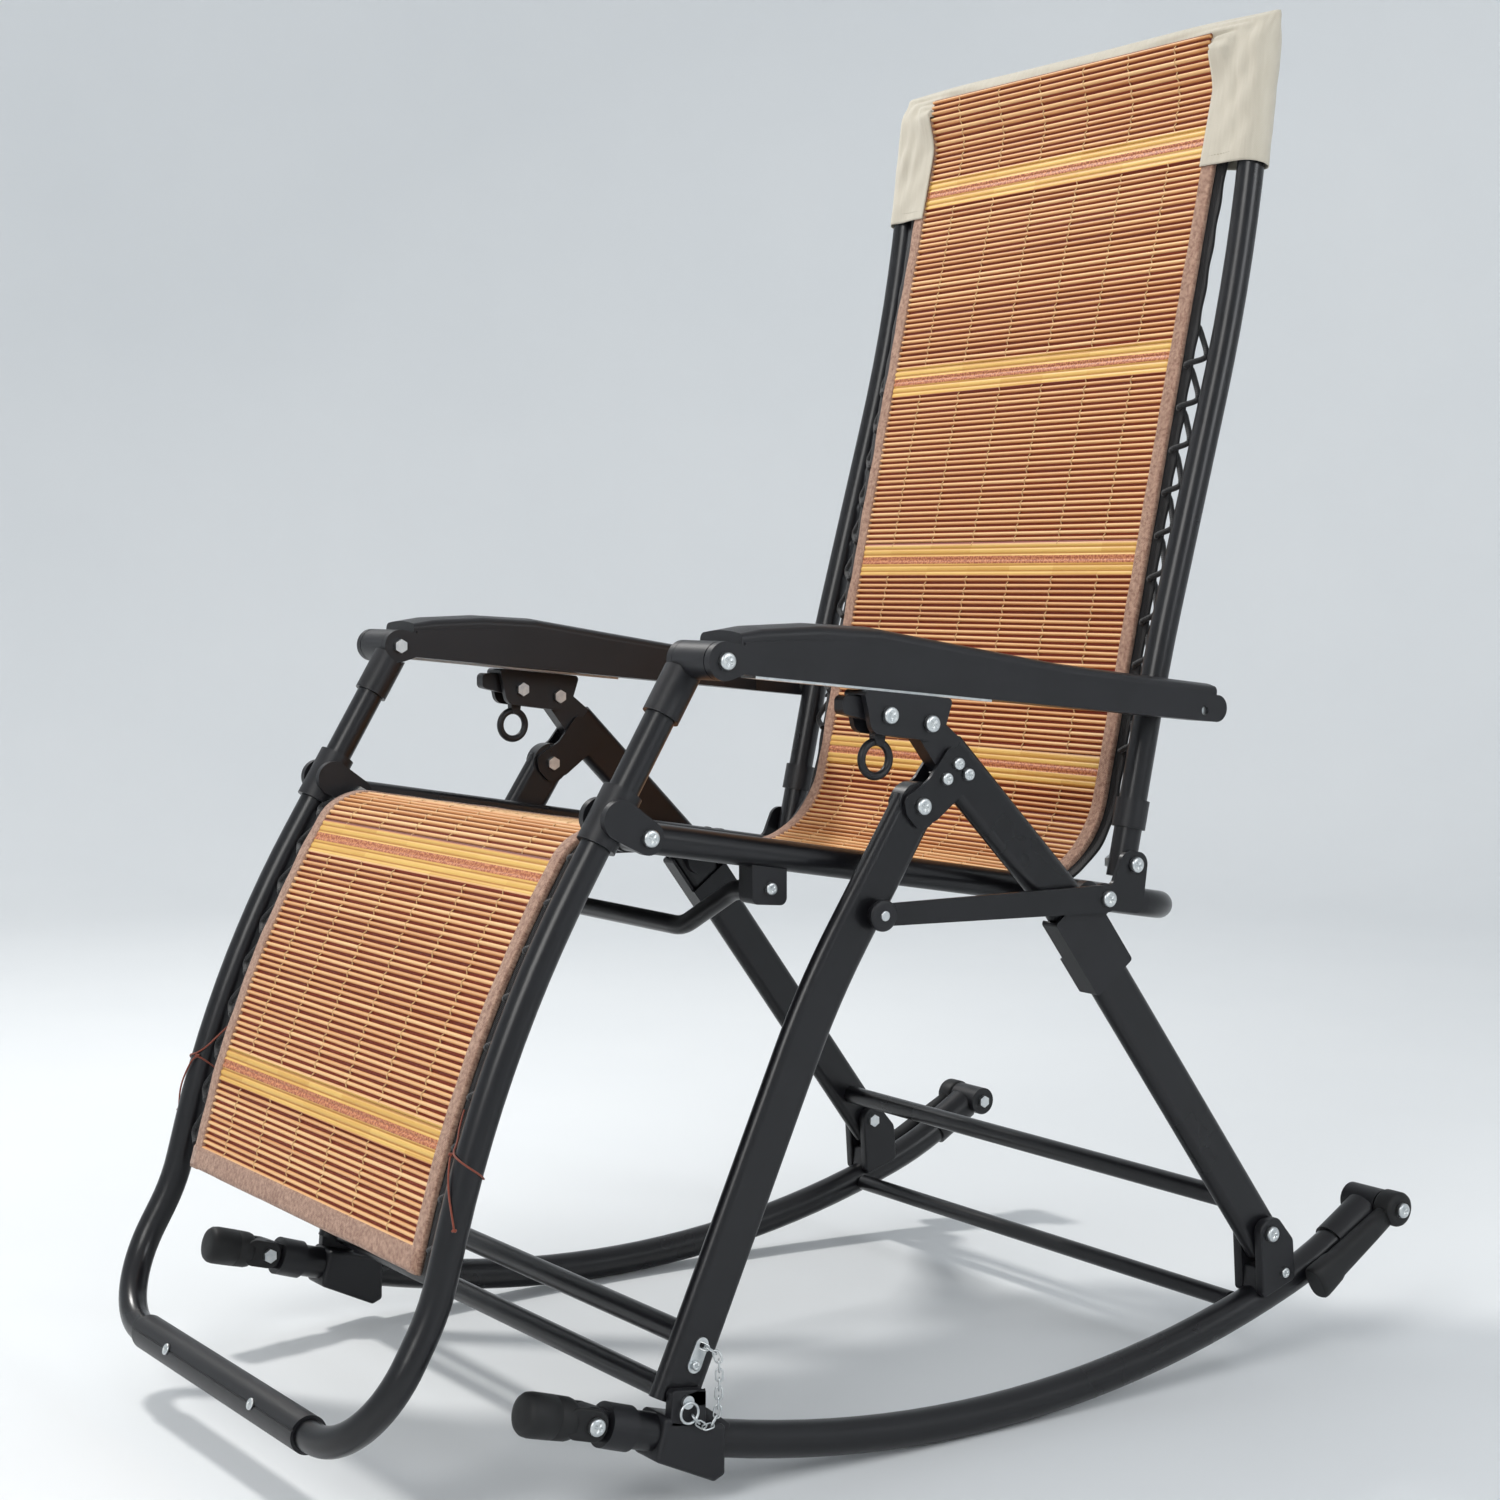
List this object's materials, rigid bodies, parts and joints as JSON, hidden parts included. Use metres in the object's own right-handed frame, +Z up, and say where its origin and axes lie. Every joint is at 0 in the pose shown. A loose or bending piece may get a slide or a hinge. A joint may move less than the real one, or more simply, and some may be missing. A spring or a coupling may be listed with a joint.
{
  "type": "folding rocking recliner",
  "caption": "Folding recliner on curved rockers, with a laced sling, slat mat, linked footrest and armrests, and swing-out stopper feet.",
  "frame": {"origin": "centre of the footprint box, on the floor under the rockers", "axes": "+Z up, -Y to the sitter's front, +X to the sitter's left"},
  "size_m": [0.6836, 1.0654, 1.2398],
  "materials": {
    "black_paint": "satin",
    "black_plastic": "satin",
    "zinc": "satin",
    "stopper_rubber": "matte",
    "sling": "matte",
    "lacing": "matte",
    "bamboo": "satin",
    "cotton": "matte"
  },
  "bodies": {
    "rockers": {"rocker_left": "black_paint", "rocker_right": "black_paint", "rocker_cross_tube": "black_paint", "front_saddles": "black_plastic", "rear_leg_brackets": "black_plastic", "front_sockets": "black_plastic", "rear_sockets": "black_plastic", "base_bolts": "zinc"},
    "rear_legs": {"rear_leg_left": "black_paint", "rear_leg_right": "black_paint", "leg_heads": "black_plastic", "rear_cross_tube": "black_paint", "hinge_plates": "black_paint", "seat_lugs": "black_plastic", "rear_leg_bolts": "zinc"},
    "front_legs": {"front_leg_left": "black_paint", "front_leg_right": "black_paint", "front_cross_tubes": "black_paint", "chain_hangers": "zinc"},
    "links": {"link_bars": "black_paint", "link_bolts": "zinc"},
    "sleeves": {"leg_sleeves": "black_plastic"},
    "seat": {"seat_frame": "black_paint", "seat_rear_plates": "black_paint", "under_seat_bar": "black_paint", "seat_bar_clamps": "black_plastic", "seat_bolts": "zinc", "seat_sling": "sling", "seat_mat": "bamboo", "seat_lacing": "lacing"},
    "backrest": {"back_frame": "black_paint", "back_collars": "black_plastic", "arm_rear_bolts": "zinc", "back_sling": "sling", "back_mat": "bamboo", "back_lacing": "lacing", "headrest_hood": "cotton"},
    "footrest": {"foot_frame": "black_paint", "foot_grip": "black_plastic", "foot_brackets": "black_plastic", "arm_barrels": "black_plastic", "arm_front_bolts": "zinc", "foot_sling": "sling", "foot_mat": "bamboo", "foot_lacing": "lacing"},
    "armrests": {"arm_rail_left": "black_plastic", "arm_rail_right": "black_plastic", "arm_pad_left": "black_plastic", "arm_pad_right": "black_plastic", "arm_slide_strips": "zinc"},
    "brackets": {"arm_brackets": "black_plastic", "lever_bolts": "zinc"},
    "lever_left": {"lock_lever_left": "black_plastic"},
    "lever_right": {"lock_lever_right": "black_plastic"},
    "pin_left": {"lock_pin_left": "zinc"},
    "pin_right": {"lock_pin_right": "zinc"},
    "front_stop_left": {"front_stopper_left": "stopper_rubber"},
    "front_stop_right": {"front_stopper_right": "stopper_rubber"},
    "rear_stop_left": {"rear_stopper_left": "stopper_rubber"},
    "rear_stop_right": {"rear_stopper_right": "stopper_rubber"}
  },
  "joints": [
    {"name": "frame_fold", "type": "hinge", "parent": "rockers", "child": "rear_legs", "pos_m": [0, 0.3658, 0.12727], "axis": [1, 0, 0], "range_deg": [-26, 0]},
    {"name": "front_leg_swing", "type": "hinge", "parent": "rear_legs", "child": "front_legs", "pos_m": [0, -0.03508, 0.53811], "axis": [1, 0, 0], "range_deg": [0, 65.01]},
    {"name": "link_swing", "type": "hinge", "parent": "front_legs", "child": "links", "pos_m": [0, -0.07974, 0.45234], "axis": [1, 0, 0], "range_deg": [-91.93, 0]},
    {"name": "sleeve_slide", "type": "slide", "parent": "rear_legs", "child": "sleeves", "axis": [0, 0.5976, -0.8018], "range_m": [0, 0.12626]},
    {"name": "recline", "type": "hinge", "parent": "seat", "child": "backrest", "pos_m": [0, 0.23648, 0.46966], "axis": [-1, 0, 0], "range_deg": [0, 35]},
    {"name": "footrest_lift", "type": "hinge", "parent": "seat", "child": "footrest", "pos_m": [0, -0.27533, 0.52253], "axis": [-1, 0, 0], "range_deg": [0, 35.01]},
    {"name": "armrest_level", "type": "hinge", "parent": "backrest", "child": "armrests", "pos_m": [0, 0.28593, 0.60703], "axis": [-1, 0, 0], "range_deg": [-35.01, 0]},
    {"name": "seat_tilt", "type": "hinge", "parent": "rear_legs", "child": "seat", "pos_m": [0, 0.16451, 0.44869], "axis": [-1, 0, 0], "range_deg": [0, 11.84]},
    {"name": "bracket_tilt", "type": "hinge", "parent": "rear_legs", "child": "brackets", "pos_m": [0, -0.02947, 0.60569], "axis": [-1, 0, 0], "range_deg": [0, 11.84]},
    {"name": "lock_lever_left", "type": "hinge", "parent": "brackets", "child": "lever_left", "pos_m": [0.3, -0.07171, 0.61379], "axis": [1, 0, 0], "range_deg": [0, 18]},
    {"name": "lock_pin_left", "type": "slide", "parent": "front_legs", "child": "pin_left", "axis": [1, 0, 0], "range_m": [0, 0.045]},
    {"name": "front_stopper_left", "type": "hinge", "parent": "rockers", "child": "front_stop_left", "pos_m": [0.3, -0.3502, 0.08243], "axis": [1, 0, 0], "range_deg": [0, 80]},
    {"name": "rear_stopper_left", "type": "hinge", "parent": "rockers", "child": "rear_stop_left", "pos_m": [0.3, 0.518, 0.13181], "axis": [1, 0, 0], "range_deg": [0, 60]},
    {"name": "lock_lever_right", "type": "hinge", "parent": "brackets", "child": "lever_right", "pos_m": [-0.3, -0.07171, 0.61379], "axis": [1, 0, 0], "range_deg": [0, 18]},
    {"name": "lock_pin_right", "type": "slide", "parent": "front_legs", "child": "pin_right", "axis": [-1, 0, 0], "range_m": [0, 0.045]},
    {"name": "front_stopper_right", "type": "hinge", "parent": "rockers", "child": "front_stop_right", "pos_m": [-0.3, -0.3502, 0.08243], "axis": [1, 0, 0], "range_deg": [0, 80]},
    {"name": "rear_stopper_right", "type": "hinge", "parent": "rockers", "child": "rear_stop_right", "pos_m": [-0.3, 0.518, 0.13181], "axis": [1, 0, 0], "range_deg": [0, 60]}
  ],
  "couplings": [
    {"joint": "front_leg_swing", "follows": "frame_fold", "ratio": -2.5},
    {"joint": "link_swing", "follows": "frame_fold", "ratio": 3.5354},
    {"joint": "sleeve_slide", "follows": "frame_fold", "m_per_rad": -0.27802},
    {"joint": "footrest_lift", "follows": "recline", "ratio": 1},
    {"joint": "armrest_level", "follows": "recline", "ratio": -1},
    {"joint": "seat_tilt", "follows": "recline", "ratio": 0.33796},
    {"joint": "bracket_tilt", "follows": "recline", "ratio": 0.33796}
  ]
}
